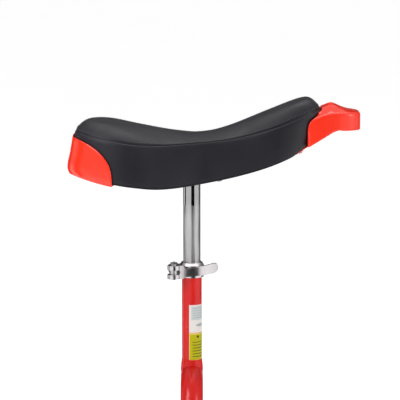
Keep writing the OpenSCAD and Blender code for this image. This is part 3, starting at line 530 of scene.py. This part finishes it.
def saddle_rows(grow):
    rows = [[sheet(u, 0.05, 1.6 + grow, 0.10) for u in ANGLES],
            [sheet(u, 0.0, grow, 0.10) for u in ANGLES],
            [sheet(u, 0.0, grow, 0.04) for u in ANGLES]]
    rows += [[wall(u, v, grow) for u in ANGLES] for v in WALLS]
    rows += [[top(u, grow, t) for u in ANGLES] for t in TOPS]
    return rows


rows = saddle_rows(0.6)
seam_row = 3 + len(WALLS) - 1
verts = [world(p) for r in rows for p in r]
faces = bands(len(rows), N)
last = (len(rows) - 1) * N
faces += [(last + i, last + i + 1, last + N - 2 - i, last + N - 1 - i) for i in range(N // 2 - 1)]
cover = make("saddle_cover_vinyl", verts, faces, M["vinyl"], None)

# The vinyl is stretched over foam: inflated a little between the hem and the seam, which are held.
most_swell = 2.5 * MM
pin = cover.vertex_groups.new(name="pin")
for r in range(len(rows)):
    weight = 1.0 if r <= 3 or r == seam_row else 0.0
    if weight:
        pin.add(list(range(r * N, r * N + N)), weight, "REPLACE")
rest = [v.co.copy() for v in cover.data.vertices]
cloth = cover.modifiers.new("cloth", "CLOTH")
s = cloth.settings
s.quality, s.mass, s.tension_stiffness, s.compression_stiffness = 6, 0.4, 40, 40
s.shear_stiffness, s.bending_stiffness = 15, 4
s.use_pressure, s.uniform_pressure_force = True, 4.0
s.vertex_group_mass = "pin"
s.effector_weights.gravity = 0
cloth.collision_settings.use_collision = False
cloth.point_cache.frame_start, cloth.point_cache.frame_end = 1, 20
for f in range(1, 21):
    scene.frame_set(f)
bpy.context.view_layer.update()
dg = bpy.context.evaluated_depsgraph_get()
moved = [v.co.copy() for v in cover.evaluated_get(dg).data.vertices]
cover.modifiers.clear()
scene.frame_set(1)
for v, a, b in zip(cover.data.vertices, rest, moved):
    step = b - a
    v.co = a + step * min(1.0, most_swell / max(step.length, 1e-9))

# Seam groove, puckers that run off it, and soft folds where the wall bends
normals = [v.normal.copy() for v in cover.data.vertices]
for r in range(3, len(rows)):
    near = abs(r - seam_row)
    for i in range(N):
        v = cover.data.vertices[r * N + i]
        push = 0.0
        if near <= 1:
            push -= (1.9, 0.5)[near]
        elif r in (seam_row - 3, seam_row - 4):
            push += 0.35
        if near <= 5:
            u = ANGLES[i]
            pucker = math.sin(u * 61 + 2.0 * math.sin(u * 7)) * 0.5 + noise.noise(v.co * 90)
            push += 0.16 * pucker * (1 - near / 6)
        if 4 < r < seam_row:
            fold = noise.noise(Vector((v.co.x * 14, v.co.y * 14, v.co.z * 45)))
            push += 0.30 * fold
        v.co += normals[r * N + i] * push * MM
sub = cover.modifiers.new("sub", "SUBSURF")
sub.levels = sub.render_levels = 1
apply_modifiers(cover)
cover.data.polygons.foreach_set("use_smooth", [True] * len(cover.data.polygons))
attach(cover, "seat")
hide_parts("saddle_cover", "saddle_foam")

# Stitches just above the seam: short bent threads laid on the finished cover, dipping in at both ends
bm = bmesh.new()
bm.from_mesh(cover.data)
skin = BVHTree.FromBMesh(bm)
bm.free()


def stitches(t_share, pitch, length, radius, sides=6, steps=4):
    path = [world(top(k * 2 * math.pi / 1440, 0, t_share)) for k in range(1441)]
    total = [0.0]
    for a, b in zip(path, path[1:]):
        total.append(total[-1] + (b - a).length)
    count = int(total[-1] / pitch)
    verts, faces = [], []

    def at(s):
        s %= total[-1]
        lo = bisect.bisect_right(total, s) - 1
        k = (s - total[lo]) / (total[lo + 1] - total[lo])
        return path[lo].lerp(path[lo + 1], k)

    for n in range(count):
        s0 = n * total[-1] / count
        base = len(verts)
        for k in range(steps + 1):
            f = k / steps
            c, up, _, _ = skin.find_nearest(at(s0 + f * length))
            ahead = (at(s0 + f * length + pitch / 8) - at(s0 + f * length - pitch / 8)).normalized()
            side = ahead.cross(up).normalized()
            r = radius * (0.5 + 0.5 * math.sin(math.pi * f) ** 0.5)
            c = c + up * (0.9 * radius * math.sin(math.pi * f) - 0.6 * radius)
            for j in range(sides):
                a = 2 * math.pi * j / sides
                verts.append(c + side * (r * math.cos(a)) + up * (r * math.sin(a)))
        faces += [tuple(base + q for q in f) for f in bands(steps + 1, sides)]
        end = base + steps * sides
        faces += [tuple(range(base, base + sides)), tuple(range(end, end + sides))]
    return verts, faces


verts, faces = stitches(0.05, 4.2 * MM, 3.1 * MM, 0.36 * MM)
make("saddle_stitches", verts, faces, M["thread"], "seat")

# ------------------------------------------------------------------ bumpers

remoulded(["rear_bumper"], "rear_bumper_moulding", M["bumper"], "seat", 0.0009, 10)
remoulded(("front_bumper", "grab_handle"), "front_bumper_moulding", M["bumper"], "seat",
          0.0009, 8)

# ------------------------------------------------------------------ hard pieces with eased edges

for key, body, width, slot, names in (
        ("clamp", "clamp", 0.0005, "clamp_chrome", ["clamp_collar"]),
        ("clamp", "lever", 0.0007, "clamp_chrome", ["clamp_lever"]),
        ("clamp", "tension_nut", 0.0004, "clamp_chrome", ["clamp_nut"]),
        ("paint", "frame", 0.0005, "frame_paint", ["left_bearing_housing", "right_bearing_housing",
                                                   "left_bearing_cap", "right_bearing_cap"]),
        ("crank", "wheel", 0.0007, "crank_steel", ["left_crank", "right_crank"]),
        ("hub", "wheel", 0.0004, "hub_alloy", ["hub_shell"]),
        ("pedal", "left_pedal", 0.0005, "pedal_plastic", ["left_pedal_body"]),
        ("pedal", "right_pedal", 0.0005, "pedal_plastic", ["right_pedal_body"])):
    for name in names:
        eased(name, M[key], body, width)

# ------------------------------------------------------------------ knurled seat post

lo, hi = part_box("seat_post")
foot, head = lo.z, hi.z - 1.2 * MM
knurl_top = ZC + 97 * MM
R = 11.1 * MM
AROUND, PITCH, KNURL = 56, 1.9 * MM, 0.1 * MM
verts, faces = [], []


def ring(r, z, tilt=0.0):
    for i in range(AROUND):
        a = 2 * math.pi * i / AROUND
        verts.append((r * math.cos(a), r * math.sin(a), z + tilt * r * math.cos(a)))


levels = int((knurl_top - foot - 3 * MM) / PITCH)
ring(9.1 * MM, head - 8 * MM)
ring(9.1 * MM, foot)
ring(R - 0.6 * MM, foot)
ring(R - 0.1 * MM, foot + 0.6 * MM)
start = len(verts) // AROUND
for j in range(levels + 1):
    z = foot + 1.5 * MM + j * PITCH
    for i in range(AROUND):
        a = 2 * math.pi * i / AROUND
        r = R - (KNURL if (i + j) % 2 == 0 else 0.0)
        verts.append((r * math.cos(a), r * math.sin(a), z))
z0 = foot + 1.5 * MM + levels * PITCH + 0.6 * MM
ring(R, z0)
ring(R, z0 + 0.15 * MM)
ring(R, z0 + 0.6 * MM)
for k in range(1, 7):
    ring(R, mix(z0 + 0.6 * MM, head, k / 6), math.tan(math.radians(6)) if k == 6 else 0.0)
total_rows = len(verts) // AROUND
for r in range(total_rows - 1):
    for i in range(AROUND):
        a, b = r * AROUND + i, r * AROUND + (i + 1) % AROUND
        c, d = b + AROUND, a + AROUND
        if start <= r < start + levels:
            if (i + (r - start)) % 2 == 0:
                faces += [(a, b, c), (a, c, d)]
            else:
                faces += [(a, b, d), (b, c, d)]
        else:
            faces.append((a, b, c, d))
faces.append(tuple(range((total_rows - 1) * AROUND, total_rows * AROUND)))
faces.append(tuple(range(AROUND)))
post = make("seat_post_tube", verts, faces, M["post"], "seat")
flat = [not (start <= min(p.vertices) // AROUND < start + levels) for p in post.data.polygons]
post.data.polygons.foreach_set("use_smooth", flat)
post.data.materials.append(M["knurl"])
post.data.polygons.foreach_set("material_index", [0 if f else 1 for f in flat])
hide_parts("seat_post")

# ------------------------------------------------------------------ tyre

AXLE_Z = (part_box("tyre")[0].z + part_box("tyre")[1].z) / 2
CASING = (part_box("tyre")[1].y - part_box("tyre")[0].y) / 2 / MM
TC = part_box("tyre")[1].x / MM - CASING  # radius of the casing's centre circle


def tyre_mesh(blocks=54, per=8):
    """Casing with a block tread: a centre rib, two rows of blocks and ribbed shoulders."""
    outer = [math.radians(a) for a in [-126, -118, -110, -102, -95, -88, -81, -74, -68, -63, -58, -54, -50,
                                       -46, -42, -38, -34, -30, -26, -22, -18, -15, -12, -9, -6, -3]]
    outer = outer + [0.0] + [-a for a in reversed(outer)]
    n = blocks * per
    seat = 203
    verts, faces = [], []
    bead = [(seat + 7.3, 11.0), (seat + 1.2, 10.9), (seat + 1.2, 8.2), (seat + 9, 9.7)]
    lining = CASING - 4.6
    inner = [(TC + lining * math.cos(math.radians(a)), lining * math.sin(math.radians(a)))
             for a in range(120, -121, -12)]
    flip = [(x, -y) for x, y in reversed(bead)]
    section = len(outer) + len(bead) + len(inner) + len(flip)
    for k in range(n):
        turn = 2 * math.pi * k / n
        pts = []
        for a in outer:
            deg = math.degrees(abs(a))
            side = 1 if a > 0 else -1
            phase = (k / per + side * 0.12 + deg / 90 * 0.5 * side) % 1.0
            deep = 0.0
            if 8 < deg < 13 or 31 < deg < 36:
                deep = 2.0
            elif 13 <= deg <= 31 and phase < 0.22:
                deep = 2.0
            elif 36 <= deg < 56 and (phase * 2) % 1.0 < 0.30:
                deep = 1.7
            elif 56 <= deg < 62:
                deep = 0.5
            elif 76 < deg < 80 or 98 < deg < 101:
                deep = -0.35
            elif deg <= 8 and phase < 0.10:
                deep = 0.9
            r = CASING - deep - (0.3 if deg > 56 else 0.0)
            pts.append((TC + r * math.cos(a), r * math.sin(a)))
        pts += bead + inner + flip
        for x, y in pts:
            verts.append((x * MM * math.cos(turn), y * MM, AXLE_Z + x * MM * math.sin(turn)))
    for k in range(n):
        for i in range(section):
            a, b = k * section + i, k * section + (i + 1) % section
            c, d = ((k + 1) % n) * section + (i + 1) % section, ((k + 1) % n) * section + i
            faces.append((a, b, c, d))
    return verts, faces


verts, faces = tyre_mesh()
tyre = make("tyre_with_tread", verts, faces, M["tyre"], "wheel")
tyre.data.set_sharp_from_angle(angle=math.radians(38))
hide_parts("tyre")

# ------------------------------------------------------------------ labels on the seat tube


def label(name, z_low, z_high, a_from, a_to, mat):
    """A thin sticker bent round the tube, from one angle to the other, with its own thickness."""
    r0, r1 = 12.71 * MM, 12.82 * MM
    cols, rws = 28, 12
    verts, faces = [], []
    for r in (r1, r0):
        for j in range(rws + 1):
            for i in range(cols + 1):
                a = math.radians(mix(a_from, a_to, i / cols))
                verts.append((r * math.cos(a), r * math.sin(a), mix(z_low, z_high, j / rws)))
    w = cols + 1
    half = w * (rws + 1)
    for j in range(rws):
        for i in range(cols):
            a = j * w + i
            faces.append((a, a + 1, a + w + 1, a + w))
            faces.append((half + a, half + a + w, half + a + w + 1, half + a + 1))
    rim = ([i for i in range(w)] + [j * w + cols for j in range(1, rws + 1)]
           + [rws * w + i for i in range(cols - 1, -1, -1)] + [j * w for j in range(rws - 1, 0, -1)])
    for p, q in zip(rim, rim[1:] + rim[:1]):
        faces.append((p, half + p, half + q, q))
    obj = make(name, verts, faces, mat, "frame")
    uv = obj.data.uv_layers.new(name="uv")
    for loop in obj.data.loops:
        k = loop.vertex_index % half
        uv.data[loop.index].uv = ((k % w) / cols, (k // w) / rws)
    return obj


white = ruled_label("label_white", ground=(0.64, 0.60, 0.57), ink=(0.33, 0.36, 0.36),
                    panel=(0.46, 0.94, (0.45, 0.48, 0.48)), first=0.50, last=0.92, count=5, right=0.80,
                    spot=(0.62, 0.27, 0.30, 0.055), edge=(0.04, 0.96, (0.74, 0.62, 0.60)))
yellow = ruled_label("label_yellow", ground=(0.40, 0.36, 0.003), ink=(0.07, 0.06, 0.004),
                     panel=(0.03, 0.97, (0.40, 0.37, 0.002)), first=0.10, last=0.72, count=6, right=0.76,
                     spot=(0.42, 0.86, 0.07, 0.045), edge=(0.035, 0.95, (0.72, 0.52, 0.14)))
label("upper_label", ZC - 70.4 * MM, ZC - 34 * MM, -106, 20, white)
label("lower_label", ZC - 107 * MM, ZC - 70.6 * MM, -106, 20, yellow)

# ------------------------------------------------------------------ stage, light and camera

floor_mat = Graph("floor_pale")
floor_mat.set(Base_Color=floor_mat.mix(floor_mat.noise(1.5, 3), (0.86, 0.86, 0.86), (0.90, 0.90, 0.90)),
              Roughness=0.9, Specular_IOR_Level=0.1, Emission_Color=(1, 1, 1, 1), Emission_Strength=0.5)
mesh = bpy.data.meshes.new("floor")
mesh.from_pydata([(-30, -30, 0), (30, -30, 0), (30, 30, 0), (-30, 30, 0)], [], [(0, 1, 2, 3)])
mesh.materials.append(floor_mat.mat)
floor = bpy.data.objects.new("floor", mesh)
scene.collection.objects.link(floor)

studio = bpy.data.worlds.new("studio")
studio.use_nodes = True
studio.node_tree.nodes["Background"].inputs[0].default_value = (1, 1, 1, 1)
studio.node_tree.nodes["Background"].inputs[1].default_value = 0.55
scene.world = studio


def softbox(name, where, aim, size, power):
    lamp = bpy.data.lights.new(name, "AREA")
    lamp.shape, lamp.size, lamp.size_y, lamp.energy = "RECTANGLE", size[0], size[1], power
    obj = bpy.data.objects.new(name, lamp)
    scene.collection.objects.link(obj)
    obj.location = where
    obj.rotation_euler = (Vector(aim) - Vector(where)).to_track_quat("-Z", "Y").to_euler()
    obj.visible_camera = False
    return obj


softbox("key", (-1.9, -1.5, 2.4), (0, 0, 0.75), (1.4, 1.4), 40)
softbox("fill", (2.4, -1.4, 1.6), (0, 0, 0.75), (0.9, 2.0), 26)
softbox("top", (0, 0.4, 3.0), (0, 0, 0.75), (2.2, 1.2), 26)


def flag(name, corners, tone, glow=0.0):
    """A card that only shiny surfaces see: a dark one, or one that glows on its underside."""
    g = Graph(name + "_card")
    g.set(Base_Color=g.mix(g.noise(3), (tone * 0.6,) * 3, (tone * 1.4,) * 3), Roughness=1.0,
          Specular_IOR_Level=0.0, Emission_Color=(1, 1, 1, 1), Emission_Strength=glow)
    if glow:
        g.set(Alpha=g.new("ShaderNodeNewGeometry").outputs["Backfacing"])
    mesh = bpy.data.meshes.new(name)
    mesh.from_pydata(corners, [], [tuple(range(len(corners)))])
    mesh.materials.append(g.mat)
    obj = bpy.data.objects.new(name, mesh)
    scene.collection.objects.link(obj)
    obj.visible_camera = obj.visible_diffuse = obj.visible_shadow = obj.visible_transmission = False


def sector(a, b, r):
    """The two floor points at distance r and bearings a and b from straight in front, towards +X."""
    return [(r * math.sin(math.radians(t)), -r * math.cos(math.radians(t))) for t in (a, b)]


def upright(name, a, b, r, low, high, tone):
    """A standing card between two bearings."""
    (ax, ay), (bx, by) = sector(a, b, r)
    flag(name, [(ax, ay, low), (bx, by, low), (bx, by, high), (ax, ay, high)], tone)


def on_floor(name, a, b, near, far, tone):
    """A card lying just over the floor between two bearings."""
    (ax, ay), (bx, by) = sector(a, b, far)
    (cx, cy), (dx, dy) = sector(a, b, near)
    flag(name, [(ax, ay, 0.004), (bx, by, 0.004), (dx, dy, 0.004), (cx, cy, 0.004)], tone)


DARK = 0.007
for name, a, b, far, high, tone in (("front", -8, 35, 3.4, 3.4, DARK), ("left", -104, -84, 3.2, 2.8, DARK),
                                    ("right", 102, 128, 3.2, 2.8, 0.2),
                                    ("rear_left", -160, -128, 3.4, 2.6, DARK),
                                    ("rear_right", 128, 160, 3.4, 2.6, 0.12)):
    upright("flag_" + name, a, b, far, 0.004, high, tone)
    on_floor("flag_floor_" + name, a, b, 1.4, far, tone)
for k in range(3):
    upright("flag_high_" + str(k), 115 + 44 * k, 158 + 44 * k, 3.8, 1.05, 2.6, DARK)


def disc(r, z):
    """The corners of a level round card."""
    return [(r * math.cos(k * math.pi / 12), r * math.sin(k * math.pi / 12), z) for k in range(24)]


flag("flag_under", disc(0.8, 0.003), DARK)
flag("bounce_under_saddle", disc(0.082, ZC + 0.083), 0.5, 1.1)

cam = bpy.data.cameras.new("camera")
cam.sensor_width, cam.lens, cam.clip_end = 36.0, 177.17, 200.0
camera = bpy.data.objects.new("camera", cam)
scene.collection.objects.link(camera)
pitch = math.radians(9.5)
aim = Vector((0.0104, 0.0, ZC + 0.0998))
camera.location = aim - 2.5 * Vector((0, math.cos(pitch), -math.sin(pitch)))
camera.rotation_euler = (math.pi / 2 - pitch, 0, 0)
scene.camera = camera
scene.view_settings.view_transform = "Standard"
